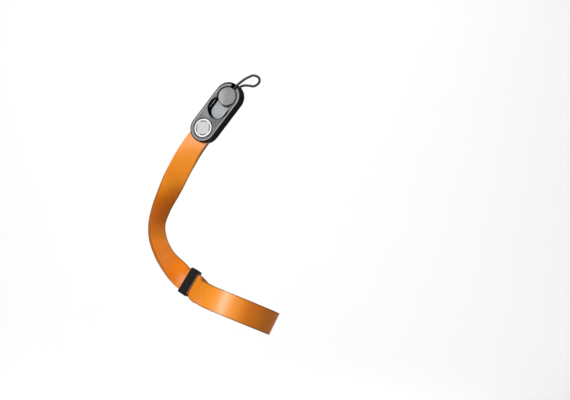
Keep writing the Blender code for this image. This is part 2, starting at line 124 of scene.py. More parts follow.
def framedSpots(tree, inverse):  # X, Y and Z in a turned frame
    spots = addNode(tree, "ShaderNodeTexCoord").outputs["Object"]
    inputs = {"Vector": spots, "Location": inverse.translation, "Rotation": inverse.to_euler()}
    turned = addNode(tree, "ShaderNodeMapping", inputs).outputs["Vector"]
    return addNode(tree, "ShaderNodeSeparateXYZ", {"Vector": turned}).outputs


def noise(tree, spots, scale, detail, rough):
    inputs = {"Vector": spots, "Scale": scale, "Detail": detail, "Roughness": rough}
    return addNode(tree, "ShaderNodeTexNoise", inputs).outputs["Fac"]


def rescale(tree, value, low, high, fromLow=0.0, fromHigh=1.0):
    inputs = {"Value": value, "From Min": fromLow, "From Max": fromHigh, "To Min": low, "To Max": high}
    return addNode(tree, "ShaderNodeMapRange", inputs).outputs["Result"]


def blendColours(tree, share, first, second):
    mix = addNode(tree, "ShaderNodeMix", data_type="RGBA")
    for socket, value in ((mix.inputs[0], share), (mix.inputs[6], first), (mix.inputs[7], second)):
        if isinstance(value, bpy.types.NodeSocket):
            tree.links.new(value, socket)
        elif isinstance(value, tuple):
            socket.default_value = (*value, 1)
        else:
            socket.default_value = value
    return mix.outputs[2]


def maths(tree, operation, first, second=0.0):
    node = addNode(tree, "ShaderNodeMath", operation=operation)
    for socket, value in zip(node.inputs, (first, second)):
        if isinstance(value, bpy.types.NodeSocket):
            tree.links.new(value, socket)
        else:
            socket.default_value = value
    return node.outputs[0]


def flatLength(tree, across, along):  # how long a way in the housing's plane is
    squares = [maths(tree, "POWER", way, 2.0) for way in (across, along)]
    return maths(tree, "SQRT", maths(tree, "ADD", *squares))


def addBump(tree, shader, height, distance, strength):
    inputs = {"Height": height, "Distance": distance, "Strength": strength}
    tree.links.new(addNode(tree, "ShaderNodeBump", inputs).outputs["Normal"], shader.inputs["Normal"])


# Cord: the same route as the solid's
cord = {
    "diameter": 1.7 * mm,
    "reach": 20.0 * mm,  # what the route's shares are of
    "neck": 5.5 * mm,  # from the disc's axis to where the cord starts
    "level": 3.95 * mm,  # above the housing's back face
    # Rows of shares of the reach: along the housing, to its right, and half the strands' gap
    "route": [
        (0.00, 0.00, 0.055), (0.22, 0.02, 0.056), (0.40, 0.09, 0.085),
        (0.57, 0.22, 0.145), (0.72, 0.38, 0.180),
    ],
    "runSteps": 10,  # from one knot to the next
    "roundSteps": 5,
    "colour": (0.012, 0.012, 0.013),
    "paler": 3,  # how many times paler its fuzz is
    "roughness": 0.6,
    "fuzz": (2200.0, 3.0, 0.6),
    "bump": (0.1 * mm, 0.5),
}


def cordKnots(look):
    places = [Vector((right, along, 0)) * look["reach"] for along, right, gap in look["route"]]
    there, back = [], []
    for i, (place, row) in enumerate(zip(places, look["route"])):
        heading = (places[min(i + 1, len(places) - 1)] - places[max(i - 1, 0)]).normalized()
        aside = heading.cross(Vector((0, 0, 1))) * (row[2] * look["reach"])
        there.append(place + aside)
        back.append(place - aside)
    tip = places[-1] + heading * aside.length
    start = Vector((0, discAt + look["neck"], look["level"]))
    return [housing @ (start + knot) for knot in there + [tip] + back[::-1]]


def cordMaterial(look):
    material, tree, shader = startMaterial("braided cord", look["colour"], look["roughness"])
    fuzz = noise(tree, objectSpots(tree), *look["fuzz"])
    pale = tuple(c * look["paler"] for c in look["colour"])
    colour = blendColours(tree, rescale(tree, fuzz, 0.0, 1.0, 0.4, 0.7), look["colour"], pale)
    tree.links.new(colour, shader.inputs["Base Color"])
    addBump(tree, shader, fuzz, *look["bump"])
    return material


def makeCord(look):
    curve = bpy.data.curves.new("anchor_cord_loop", "CURVE")
    curve.dimensions = "3D"
    knots = cordKnots(look)
    spline = curve.splines.new("BEZIER")
    spline.bezier_points.add(len(knots) - 1)
    for point, knot in zip(spline.bezier_points, knots):
        point.co = knot
        point.handle_left_type = point.handle_right_type = "AUTO"
    curve.resolution_u = look["runSteps"]
    curve.bevel_depth = look["diameter"] / 2
    curve.bevel_resolution = look["roundSteps"]
    curve.use_fill_caps = True
    curve.materials.append(cordMaterial(look))
    piece = bpy.data.objects.new("anchor_cord_loop", curve)
    bpy.context.scene.collection.objects.link(piece)
    bpy.context.view_layer.update()
    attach(piece, "strap")
    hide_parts("anchor_cord")


makeCord(cord)
print("cord made")


# Leather
leather = {
    "grain": (0.830, 0.268, 0.010),  # the outer face, where the light falls flat
    "cloudsAndShade": (0.720, 0.165, 0.005),  # its darker clouds, and the colour of the painted shade along the strap
    "edge": (0.150, 0.034, 0.005),  # stain and painted shade that run in from the cut edges
    "flesh": (0.560, 0.270, 0.095),  # the inner face
    "burnished": (0.300, 0.082, 0.006),  # the cut edge
    "roughness": 0.41,
    "smoother": 0.05,  # how far the clouds lower the roughness
    "rougher": 0.07,  # and how far they raise it
    "pebble": 1500.0,  # grain cells in a metre
    "clouds": (55.0, 4.0, 0.6),
    "flecks": (700.0, 3.0, 0.6),
    "creases": (420.0, 4.0, 0.6),
    "cloudShare": 0.55,  # how deep the clouds are
    "fleckShare": 0.22,
    "bump": (0.05 * mm, 0.35),
    "fleshRoughness": 0.85,
    "fleshPaler": 1.25,
    "fleshSheen": 0.25,
    "fleshClouds": (90.0, 3.0, 0.6),
    "nap": (1400.0, 5.0, 0.7),
    "fleshBump": (0.08 * mm, 0.6),
    "edgeRoughness": 0.5,
    "edgeShine": 0.15,
    "edgePaler": 1.8,
    "streaks": (900.0, 4.0, 0.6),
    "edgeBump": (0.04 * mm, 0.5),
    "stainAndShadeWidth": 0.14,  # share of half the width that the stain and painted edge shade take
    "stainAndShadeStrength": 0.9,
    # How far the stain and painted edge shade get at the left cut edge: millimetres from the strap's front
    # end, and the share
    "leftStainAndShade": [(0, 0.90), (122, 0.90), (138, 1.00), (450, 1.00)],
    # Painted shade along the strap: how far it turns to the darker colour, in the same way
    "paintedShade": [
        (0, 0.0), (48, 0.05), (68, 0.75), (86, 0.40), (101, 0.55), (118, 0.7), (138, 0.3), (152, 0.0),
        (188, 0.0), (201, 0.6), (214, 0.5), (235, 0.3), (450, 0.2),
    ],
    # Shine, in the same way
    "polish": [
        (0, 0.34), (45, 0.28), (62, 0.12), (76, 0.20), (88, 0.60), (102, 0.18), (125, 0.22), (150, 0.58),
        (190, 0.64), (202, 0.35), (240, 0.45), (300, 0.30), (450, 0.20),
    ],
    # How light the dye came out, with painted light and shade along the strap mixed in
    "dyeAndLight": [
        (0, 1.00), (26, 0.97), (42, 1.05), (52, 1.12), (60, 1.20), (70, 1.26), (80, 1.14), (92, 1.05),
        (101, 0.83), (109, 0.75), (118, 0.84), (140, 0.98), (160, 1.04), (192, 1.03), (201, 0.86),
        (211, 0.86), (219, 0.94), (260, 1.00), (450, 1.00),
    ],
    # Painted light and shade across the lead: how much lighter its left edge is than its middle, and how
    # much darker its right edge
    "lean": [
        (0, 0.0), (42, 0.05), (55, 0.32), (66, 0.27), (80, 0.25), (92, 0.19), (101, 0.13), (109, 0.06),
        (120, 0.0), (450, 0.0),
    ],
}


def grainMaterial(look):
    material, tree, shader = startMaterial("tan leather grain", look["grain"], look["roughness"])
    spots = objectSpots(tree)
    clouds = noise(tree, spots, *look["clouds"])
    flecks = noise(tree, spots, *look["flecks"])
    share = rescale(tree, clouds, 0.0, look["cloudShare"], 0.35, 0.75)
    share = maths(tree, "ADD", share, rescale(tree, flecks, 0.0, look["fleckShare"], 0.45, 0.75))
    # painted shade: the rows lay the darker, redder colour along the strap
    paintedShadeShare = addNode(tree, "ShaderNodeAttribute", attribute_name="paintedShade").outputs["Fac"]
    share = rescale(tree, maths(tree, "ADD", maths(tree, "MULTIPLY", share, 0.5), paintedShadeShare), 0.0, 1.0)
    face = blendColours(tree, share, look["grain"], look["cloudsAndShade"])
    # a darker band along the cut edges: partly edge stain, partly painted shade of the rounded edges
    across = addNode(tree, "ShaderNodeAttribute", attribute_name="acrossStrap").outputs["Fac"]
    outward = maths(tree, "ABSOLUTE", across)
    stainAndShade = rescale(tree, outward, 0.0, look["stainAndShadeStrength"], 1.0 - look["stainAndShadeWidth"], 1.0)
    colour = blendColours(tree, stainAndShade, face, look["edge"])
    # the colour scaled by dye variation and by painted light and shade along the strap
    dyeAndLight = addNode(tree, "ShaderNodeAttribute", attribute_name="dyeAndLight").outputs["Fac"]
    dyedAndLit = addNode(tree, "ShaderNodeVectorMath", {"Vector": colour, "Scale": dyeAndLight}, operation="SCALE")
    tree.links.new(dyedAndLit.outputs["Vector"], shader.inputs["Base Color"])
    low, high = look["roughness"] - look["smoother"], look["roughness"] + look["rougher"]
    tree.links.new(rescale(tree, clouds, low, high), shader.inputs["Roughness"])
    cells = addNode(tree, "ShaderNodeTexVoronoi", {"Vector": spots, "Scale": look["pebble"]})
    creases = noise(tree, spots, *look["creases"])
    height = maths(tree, "ADD", rescale(tree, cells.outputs["Distance"], 0.0, 0.6), creases)
    addBump(tree, shader, height, *look["bump"])
    polish = addNode(tree, "ShaderNodeAttribute", attribute_name="polish").outputs["Fac"]
    tree.links.new(polish, shader.inputs["Specular IOR Level"])
    return material


def fleshMaterial(look):
    material, tree, shader = startMaterial("leather flesh side", look["flesh"], look["fleshRoughness"])
    spots = objectSpots(tree)
    nap = noise(tree, spots, *look["nap"])
    clouds = noise(tree, spots, *look["fleshClouds"])
    pale = tuple(c * look["fleshPaler"] for c in look["flesh"])
    clouds = rescale(tree, clouds, 0.4, 1.0, 0.3, 0.7)
    share = maths(tree, "MULTIPLY", rescale(tree, nap, 0.0, 1.0, 0.3, 0.7), clouds)
    tree.links.new(blendColours(tree, share, look["flesh"], pale), shader.inputs["Base Color"])
    addBump(tree, shader, nap, *look["fleshBump"])
    shader.inputs["Sheen Weight"].default_value = look["fleshSheen"]
    return material


def burnishedMaterial(look):
    material, tree, shader = startMaterial("burnished edge", look["burnished"], look["edgeRoughness"])
    shader.inputs["Specular IOR Level"].default_value = look["edgeShine"]
    streaks = noise(tree, objectSpots(tree), *look["streaks"])
    pale = tuple(c * look["edgePaler"] for c in look["burnished"])
    share = rescale(tree, streaks, 0.0, 1.0, 0.35, 0.8)
    tree.links.new(blendColours(tree, share, look["burnished"], pale), shader.inputs["Base Color"])
    addBump(tree, shader, streaks, *look["edgeBump"])
    return material


# Where the strap runs: the same course as the solid's
course = {
    "width": 15.8 * mm,
    "thickness": 1.1 * mm,
    "layerGap": 0.3 * mm,  # between the lead's two layers
    "step": 1.3 * mm,  # from one ring of points to the next
    "pieces": 12,  # curve pieces from one row to the next
    "loopSize": (60.0 * mm, 45.0 * mm),
    "loopTilt": (22.4, 5.0),  # degrees that the loop leans to the right, and away from the front
    "loopSwing": 16.7,  # degrees that its right side comes forward
    # Along, across and up: shares of the loop's length, its depth and the strap's width
    "keeperPlace": (-0.624, 0.110, 0.28),
    "keeperDrop": 31.0,  # degrees that the keeper's way up the lead is above the level
    "keeperForward": 22.0,  # and degrees that it runs to the back
    "keeperLength": 7.2 * mm,
    "leadLength": 115.0 * mm,
    "mouthReach": 9.7 * mm,  # from the housing's mouth to the rivet
    "tail": 4.8 * mm,  # past the rivet
    # Rows up the lead: right, back and up from the keeper as shares of leadLength, and degrees of roll
    "lead": [
        (-0.094, 0.054, 0.080, 30), (-0.156, 0.097, 0.155, 49), (-0.200, 0.130, 0.250, 54),
        (-0.208, 0.141, 0.340, 56), (-0.183, 0.137, 0.430, 49), (-0.136, 0.115, 0.530, 34),
        (-0.072, 0.076, 0.657, 8), (0.044, 0.016, 0.838, -21),
    ],
    # Rows round the loop: along, across and lift as keeperPlace, and degrees of lean, right and away
    "loop": [
        (-0.486, 0.035, 0.085, 25, 7), (-0.330, -0.200, 0.03, 24, 4), (-0.170, -0.425, 0.00, 22, 2),
        (0.020, -0.500, 0.00, 22, 1), (0.220, -0.450, 0.00, 23, 1), (0.390, -0.280, 0.00, 25, 2),
        (0.490, 0.000, 0.00, 27, 4), (0.410, 0.290, 0.00, 25, 7), (0.220, 0.460, 0.00, 23, 9),
        (0.000, 0.500, 0.00, 22, 9), (-0.180, 0.400, 0.00, 22, 9), (-0.320, 0.205, 0.01, 23, 8),
        (-0.460, 0.125, 0.075, 25, 6),
    ],
}


def tilted(lean, away):  # a way near +Z that leans to the right, and away from the front
    lean, away = radians(lean), radians(away)
    return Vector((sin(lean) * cos(away), sin(away), cos(lean) * cos(away)))


def rolledAcross(heading, roll):  # the strap's right-hand way where it runs along heading
    level = Vector((0, 1, 0)).cross(heading).normalized()
    return level * cos(radians(roll)) + heading.cross(level) * sin(radians(roll))


def loopSpot(look, along, across, lift):
    up = tilted(*look["loopTilt"])
    swing = radians(look["loopSwing"])
    right = Vector((cos(swing), -sin(swing), 0))
    right = (right - up * right.dot(up)).normalized()
    length, depth = look["loopSize"]
    return right * (along * length) + up.cross(right) * (across * depth) + up * (lift * look["width"])


def keeperFrame(look):  # the keeper's middle, the way up the lead and the way to its right
    drop, forward = radians(look["keeperDrop"]), radians(look["keeperForward"])
    heading = Vector((-cos(forward) * cos(drop), sin(forward), cos(forward) * sin(drop)))
    return loopSpot(look, *look["keeperPlace"]), heading, rolledAcross(heading, 0)


def smoothRun(knots, pieces):
    # Close points and right-hand ways along a smooth curve. A knot is a point, its way to the right and its
    # heading, or None where the curve chooses it
    chords = [(b[0] - a[0]).length for a, b in zip(knots, knots[1:])]

    def slope(values, i):
        behind = (values[i] - values[i - 1]) / chords[i - 1] if i else None
        ahead = (values[i + 1] - values[i]) / chords[i] if i < len(chords) else None
        if behind is None or ahead is None:
            return behind if ahead is None else ahead
        return (behind * chords[i] + ahead * chords[i - 1]) / (chords[i] + chords[i - 1])

    def run(values, slopes):
        spots = [values[0]]
        for i, chord in enumerate(chords):
            before = values[i] + slopes[i] * chord / 3
            after = values[i + 1] - slopes[i + 1] * chord / 3
            spots += interpolate_bezier(values[i], before, after, values[i + 1], pieces + 1)[1:]
        return spots

    places = [knot[0] for knot in knots]
    sides = [knot[1] for knot in knots]
    headings = [knot[2] or slope(places, i) for i, knot in enumerate(knots)]
    return run(places, headings), run(sides, [slope(sides, i) for i in range(len(knots))])


def evenRings(look, knots):
    # Rings at even distances along the curve, each as its point, way to the right and heading
    spots, sides = smoothRun(knots, look["pieces"])
    lengths = [0.0]
    for a, b in zip(spots, spots[1:]):
        lengths.append(lengths[-1] + (b - a).length)
    count = round(lengths[-1] / look["step"])
    rings = []
    j = 0
    for i in range(count + 1):
        target = lengths[-1] * i / count
        while j < len(lengths) - 2 and lengths[j + 1] < target:
            j += 1
        share = (target - lengths[j]) / (lengths[j + 1] - lengths[j])
        heading = (spots[j + 1] - spots[j]).normalized()
        across = sides[j].lerp(sides[j + 1], share)
        across = (across - heading * across.dot(heading)).normalized()
        rings.append((spots[j].lerp(spots[j + 1], share), across, heading))
    return rings


def leadKnots(look):
    middle, heading, across = keeperFrame(look)
    half = heading * (look["keeperLength"] / 2)
    knots = [(middle - half, across, heading), (middle + half, across, heading)]
    places = [middle + half] + [middle + Vector(row[:3]) * look["leadLength"] for row in look["lead"]]
    for i, row in enumerate(look["lead"][:-1], start=1):
        onward = (places[i + 1] - places[i - 1]).normalized()
        knots.append((places[i], rolledAcross(onward, row[3]), None))
    side, inward = housing.col[0].xyz, housing.col[1].xyz
    knots.append((places[-1], side, inward))
    knots.append((places[-1] + inward * (look["mouthReach"] + look["tail"]), side, inward))
    return knots


def loopKnots(look):
    middle, heading, across = keeperFrame(look)
    mouth = middle - heading * (look["keeperLength"] / 2)
    knots = [(mouth, across, -heading)]
    for along, aside, lift, lean, away in look["loop"]:
        knots.append((loopSpot(look, along, aside, lift), tilted(lean, away), None))
    return knots + [(mouth, across, heading)]


def strapRings(look):
    # Down the front layer, round the loop and up the back layer: each ring's left end, right end and way out
    lead = evenRings(look, leadKnots(look))
    loop = evenRings(look, loopKnots(look))
    down = [(spot, across, -heading) for spot, across, heading in reversed(lead)]
    rings = []
    for spot, across, heading in down + loop[1:-1] + lead:
        out = heading.cross(across)
        middle = spot + out * ((look["layerGap"] + look["thickness"]) / 2)
        side = across * (look["width"] / 2)
        rings.append((middle - side, middle + side, out))
    return rings


def valueAt(rows, distance):  # from rows of millimetres and value
    for (start, low), (end, high) in zip(rows, rows[1:]):
        if start * mm <= distance <= end * mm:
            share = (distance / mm - start) / (end - start)
            return low + (high - low) * share * share * (3 - 2 * share)
    return 0.0


strap = {
    "columns": 10,  # faces across the strap before it is smoothed
    "round": 0.30 * mm,  # rounding of the cut edges
    "roundSteps": 2,
    "roundFrom": 50,  # degrees between the faces of an edge that is rounded
}


def makeStrap(look):
    rings = strapRings(course)
    bm = bmesh.new()
    share = bm.verts.layers.float.new("acrossStrap")  # minus leftStainAndShade at the left cut edge, 1 at the right
    wear = {name: bm.verts.layers.float.new(name) for name in ("paintedShade", "polish", "dyeAndLight")}
    edge = bm.edges.new([bm.verts.new(end) for end in rings[0][:2]])
    crossings = [edge]
    for left, right, out in rings[1:]:
        made = bmesh.ops.extrude_edge_only(bm, edges=[edge])["geom"]
        edge = next(item for item in made if isinstance(item, bmesh.types.BMEdge))
        crossings.append(edge)
        ends = sorted(edge.verts, key=lambda vertex: vertex.co.dot(right - left))
        ends[0].co, ends[1].co = left, right
    for i, (crossing, (left, right, out)) in enumerate(zip(crossings, rings)):
        distance = i * course["step"]
        for vertex in crossing.verts:
            onLeft = (vertex.co - left).length < (vertex.co - right).length
            vertex[share] = -valueAt(leather["leftStainAndShade"], distance) if onLeft else 1
            for name, layer in wear.items():
                vertex[layer] = valueAt(leather[name], distance)
            # painted light and shade across the lead: lighter at the left edge, darker at the right
            vertex[wear["dyeAndLight"]] *= 1 - valueAt(leather["lean"], distance) * vertex[share]
    bmesh.ops.recalc_face_normals(bm, faces=bm.faces)
    bm.faces.ensure_lookup_table()
    if bm.faces[0].normal.dot(rings[0][2]) < 0:
        bmesh.ops.reverse_faces(bm, faces=bm.faces)
    bmesh.ops.subdivide_edges(bm, edges=crossings, cuts=look["columns"] - 1, use_grid_fill=True)
    print("strap band:", len(rings), "rings,", len(bm.verts), "points")
    mesh = bpy.data.meshes.new("leather_strap")
    bm.to_mesh(mesh)
    bm.free()
    mesh.shade_smooth()
    piece = bpy.data.objects.new("leather_strap", mesh)
    bpy.context.scene.collection.objects.link(piece)
    for material in (grainMaterial(leather), fleshMaterial(leather), burnishedMaterial(leather)):
        mesh.materials.append(material)
    smooth = piece.modifiers.new("smooth", "SUBSURF")
    smooth.levels = smooth.render_levels = 1
    smooth.boundary_smooth = "PRESERVE_CORNERS"
    shell = piece.modifiers.new("thickness", "SOLIDIFY")
    shell.thickness = course["thickness"]
    shell.offset = 0
    shell.use_even_offset = True
    shell.material_offset = 1
    shell.material_offset_rim = 2
    rounding = piece.modifiers.new("edges", "BEVEL")
    rounding.width = look["round"]
    rounding.segments = look["roundSteps"]
    rounding.limit_method = "ANGLE"
    rounding.angle_limit = radians(look["roundFrom"])
    rounding.material = 2
    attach(piece, "strap")
    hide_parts("strap")


makeStrap(strap)
print("strap made")


# Hard pieces: each is its solid, with its edges broken
solidCopy = {
    "merge": 0.001 * mm,  # points this close become one
    "flat": 0.5,  # degrees between faces that become one
    "edge": 0.12 * mm,
    "edgeSteps": 2,
    "edgeFrom": 30,  # degrees between the faces of an edge that is broken
}


# A pick chooses a face's material from the face's normal and corners in the housing's frame
def finishedCopy(node, name, body, materials, pick=None):
    bm = bmesh.new()
    bm.from_mesh(nodes[node].data)
    bmesh.ops.remove_doubles(bm, verts=bm.verts, dist=solidCopy["merge"])
    bmesh.ops.dissolve_limit(bm, angle_limit=radians(solidCopy["flat"]), verts=bm.verts, edges=bm.edges)
    for face in bm.faces if pick else []:
        corners = [toHousing @ vertex.co for vertex in face.verts]
        face.material_index = pick(toHousing.to_3x3() @ face.normal, corners)
    mesh = bpy.data.meshes.new(name)
    bm.to_mesh(mesh)
    bm.free()
    mesh.shade_smooth()
    piece = bpy.data.objects.new(name, mesh)
    bpy.context.scene.collection.objects.link(piece)
    for material in materials:
        mesh.materials.append(material)
    broken = piece.modifiers.new("broken edges", "BEVEL")
    broken.width = solidCopy["edge"]
    broken.segments = solidCopy["edgeSteps"]
    broken.limit_method = "ANGLE"
    broken.angle_limit = radians(solidCopy["edgeFrom"])
    broken.harden_normals = True
    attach(piece, body)
    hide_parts(node)
    return piece


brushed = {  # what every metal has unless it names its own
    "stretch": 6.0,  # how many times longer than wide its brushing is
    "lines": (2600.0, 3.0, 0.6),
    "clouds": (480.0, 4.0, 0.65),
    "spread": 0.06,  # how far the clouds lower and raise the roughness
    "bump": (0.02 * mm, 0.5),
}
metal = {
    "cover": {
        "colour": (0.080, 0.080, 0.082), "pale": (0.205, 0.205, 0.208),
        "roughness": 0.60, "metallic": 0.40,
    },
    # the pale of the painted highlight line along the cover's outline
    "coverRimHighlight": {"pale": (0.270, 0.270, 0.273)},
    "button": {
        "colour": (0.250, 0.262, 0.280), "pale": (0.340, 0.354, 0.374),
        "roughness": 0.60, "metallic": 0.40, "stretch": 2.0,
    },
    "buttonRim": {
        "colour": (0.380, 0.392, 0.410), "pale": (0.470, 0.482, 0.500),
        "roughness": 0.50, "metallic": 0.50, "stretch": 2.0,
    },
    "disc": {
        "colour": (0.165, 0.159, 0.161), "pale": (0.240, 0.232, 0.235),
        "roughness": 0.60, "metallic": 0.30, "stretch": 1.0,
    },
    "discRim": {
        "colour": (0.420, 0.410, 0.414), "pale": (0.520, 0.510, 0.514),
        "roughness": 0.50, "metallic": 0.30, "stretch": 1.0,
    },
    "cap": {
        "colour": (0.405, 0.405, 0.396), "pale": (0.545, 0.545, 0.533),
        "roughness": 0.68, "metallic": 0.90, "stretch": 1.0, "bump": (0.01 * mm, 0.5),
    },
    "capRim": {
        "colour": (0.560, 0.560, 0.552), "pale": (0.660, 0.660, 0.652),
        "roughness": 0.55, "metallic": 0.90, "stretch": 1.0, "bump": (0.01 * mm, 0.5),
    },
    # The rails' pale colour is partly painted light, raised because the cover's wall shades them
    "rail": {
        "colour": (0.800, 0.785, 0.770), "pale": (0.900, 0.885, 0.870),
        "roughness": 0.50, "metallic": 0.00,
    },
}


def brushedMaterial(name, own):
    look = {**brushed, **own}
    material, tree, shader = startMaterial(name, look["colour"], look["roughness"], look["metallic"])
    turn = tuple(toHousing.to_euler())
    spots = objectSpots(tree, (1, 1 / look["stretch"], 1), turn)
    lines = noise(tree, spots, *look["lines"])
    clouds = noise(tree, objectSpots(tree), *look["clouds"])
    patches = rescale(tree, clouds, 0.0, 1.0, 0.35, 0.65)
    share = maths(tree, "MULTIPLY", rescale(tree, lines, 0.2, 1.0, 0.3, 0.7), patches)
    tree.links.new(blendColours(tree, share, look["colour"], look["pale"]), shader.inputs["Base Color"])
    roughness = rescale(tree, clouds, look["roughness"] - look["spread"], look["roughness"] + look["spread"])
    tree.links.new(roughness, shader.inputs["Roughness"])
    addBump(tree, shader, lines, *look["bump"])
    return material


rim = {
    "flat": 0.97,  # a normal this near the front belongs to a flat face
    "wall": 0.30,  # and one this far from it to a wall
    # From the cover's middle line: where its painted highlight line starts and ends, and how wide it fades;
    # painted shade lies past its end
    "coverHighlightLine": (8.05 * mm, 8.70 * mm, 0.08 * mm),
    "shade": (0.020, 0.020, 0.021),  # painted shade outside that line
    "rubbedAndLit": (-4.6 * mm, 10.2 * mm),  # where the cover is lighter, partly rubbed wear and partly painted light: across and along the housing
    "rubbedAndLitReach": (2.0 * mm, 5.0 * mm),  # from there: how far it is full, and where it ends
    "rubbedAndLitColour": (0.225, 0.225, 0.228),
    "rubbedAndLitStrength": 0.6,
    "capRadius": 5.45 * mm,  # where the cap's raised rim starts
    "railLevel": 4.5 * mm,  # height of the rails beside the button, above the back face
    "railPlace": (6.8 * mm, 7.5 * mm),  # how far they are from the middle
    "railSlack": 0.05 * mm,
}


def coverMaterial(look, line):  # the cover's grey, with a lighter patch that is partly rubbed wear and partly painted light, a painted highlight line along its outline and painted shade outside it
    material = brushedMaterial("grey cover", look)
    tree = material.node_tree
    place = framedSpots(tree, toHousing)
    along = maths(tree, "MINIMUM", maths(tree, "MAXIMUM", place["Y"], 0.0), discAt)
    reach = flatLength(tree, place["X"], maths(tree, "SUBTRACT", place["Y"], along))
    start, end, fade = rim["coverHighlightLine"]
    colour = tree.nodes["Principled BSDF"].inputs["Base Color"]
    # a lighter patch on the cover: partly rubbed wear, partly painted light
    across, onward = rim["rubbedAndLit"]
    aside = (maths(tree, "SUBTRACT", place["X"], across), maths(tree, "SUBTRACT", place["Y"], onward))
    rubbedAndLit = rescale(tree, flatLength(tree, *aside), rim["rubbedAndLitStrength"], 0.0, *rim["rubbedAndLitReach"])
    face = blendColours(tree, rubbedAndLit, colour.links[0].from_socket, rim["rubbedAndLitColour"])
    # a painted highlight line along the outline, and painted shade outside it
    highlightShare = rescale(tree, reach, 0.0, 1.0, start, start + fade)
    shaded = rescale(tree, reach, 0.0, 1.0, end, end + fade)
    inner = blendColours(tree, highlightShare, face, line["pale"])
    tree.links.new(blendColours(tree, shaded, inner, rim["shade"]), colour)
    return material


discFace = {
    "paintedLight": (0.430, 0.425, 0.425),  # painted light on its left side
    "paintedLightWay": (0.82, 0.57),  # shares of the way across the housing and along it
    "paintedLightPlace": (-0.5 * mm, -6.2 * mm),  # where that starts and is strongest
    "paintedLightStrength": 0.65,
    "seamShadow": (0.045, 0.045, 0.048),  # a painted shadow line along its edge, on the button's side
    "seamShadowPlace": (5.75 * mm, 5.90 * mm),  # from its middle: where the line starts and is full
    "seamShadowSide": (-1.2 * mm, -2.6 * mm),  # how far towards the button it starts and is full
    "seamShadowStrength": 0.9,
}


def discMaterial(name, look, face):  # the disc's grey, with painted light on its left side and a painted shadow line along its edge at the button
    material = brushedMaterial(name, look)
    tree = material.node_tree
    place = framedSpots(tree, toHousing)
    along = maths(tree, "SUBTRACT", place["Y"], discAt)
    reach = flatLength(tree, place["X"], along)
    colour = tree.nodes["Principled BSDF"].inputs["Base Color"]
    # painted light on the disc's left side
    sideways = maths(tree, "MULTIPLY", place["X"], face["paintedLightWay"][0])
    onward = maths(tree, "MULTIPLY", along, face["paintedLightWay"][1])
    slant = maths(tree, "ADD", sideways, onward)
    lit = rescale(tree, slant, 0.0, face["paintedLightStrength"], *face["paintedLightPlace"])
    whole = blendColours(tree, lit, colour.links[0].from_socket, face["paintedLight"])
    # a painted shadow line along the disc's edge on the button's side
    edge = rescale(tree, reach, 0.0, face["seamShadowStrength"], *face["seamShadowPlace"])
    seamShadow = maths(tree, "MULTIPLY", edge, rescale(tree, along, 0.0, 1.0, *face["seamShadowSide"]))
    tree.links.new(blendColours(tree, seamShadow, whole, face["seamShadow"]), colour)
    return material


plastic = {
    "colour": (0.006, 0.005, 0.005),
    "pale": (0.013, 0.010, 0.010),
    "roughness": 0.68,
    "smoother": 0.08,  # how far the scuffs lower the roughness
    "rougher": 0.12,  # and how far they raise it
    "gloss": 0.12,
    "texture": (1800.0, 4.0, 0.6),
    "scuffs": (160.0, 5.0, 0.7),
    "bump": (0.03 * mm, 0.4),
}


def plasticMaterial(name, look):
    material, tree, shader = startMaterial(name, look["colour"], look["roughness"])
    spots = objectSpots(tree)
    texture = noise(tree, spots, *look["texture"])
    scuffs = noise(tree, spots, *look["scuffs"])
    colour = blendColours(tree, rescale(tree, scuffs, 0.0, 1.0, 0.4, 0.7), look["colour"], look["pale"])
    tree.links.new(colour, shader.inputs["Base Color"])
    low, high = look["roughness"] - look["smoother"], look["roughness"] + look["rougher"]
    tree.links.new(rescale(tree, scuffs, low, high), shader.inputs["Roughness"])
    addBump(tree, shader, texture, *look["bump"])
    shader.inputs["Specular IOR Level"].default_value = look["gloss"]
    return material


def pickEdge(normal, corners):  # 1 on chamfers round the front face
    return 1 if rim["wall"] < normal.z < rim["flat"] else 0


def pickCover(normal, corners):  # 1 on the walls and the rounding
    return 1 if abs(normal.z) < rim["flat"] else 0


def pickCap(normal, corners):  # 1 on the raised rim
    onRim = all(corner.xy.length > rim["capRadius"] for corner in corners)
    return 1 if onRim and normal.z > rim["wall"] else 0


def pickRail(normal, corners):  # 1 on the rails' tops
    near, far = rim["railPlace"]
    beside = all(near < abs(corner.x) < far for corner in corners)
    level = all(abs(corner.z - rim["railLevel"]) < rim["railSlack"] for corner in corners)
    return 1 if beside and level and normal.z > rim["flat"] else 0


blackBase = plasticMaterial("black base", plastic)
# the rails' tops get the pale colour that stands in for painted light
finish = [blackBase, brushedMaterial("rail with painted light", metal["rail"])]
finishedCopy("housing_base", "base_shell", "strap", finish, pickRail)
finish = [coverMaterial(metal["cover"], metal["coverRimHighlight"]), blackBase]
finishedCopy("housing_cover", "cover_plate", "strap", finish, pickCover)
finish = [brushedMaterial("silver cap", metal["cap"]), brushedMaterial("cap rim", metal["capRim"])]
finishedCopy("rivet_cap", "rivet", "strap", finish, pickCap)
finish = [
    discMaterial("grey disc", metal["disc"], discFace),
    discMaterial("disc rim", metal["discRim"], discFace),
]
finishedCopy("anchor_disc", "coupling_disc", "strap", finish, pickEdge)
finish = [brushedMaterial("pale button", metal["button"]), brushedMaterial("button rim", metal["buttonRim"])]
finishedCopy("release_button", "press_button", "button", finish, pickEdge)
print("housing finished")


# Four plain dark arcs in the cap's dished face
capArcs = {
    "level": 7.85 * mm,  # the dished face, above the housing's back face
    "radius": (4.50 * mm, 4.95 * mm),
    "turn": 54,  # degrees that each covers
    "lean": 37,  # degrees from the housing's X to the first one's middle
    "steps": 8,
    "proud": 0.04 * mm,  # above the dished face
    "sunk": 0.05 * mm,  # into it
}


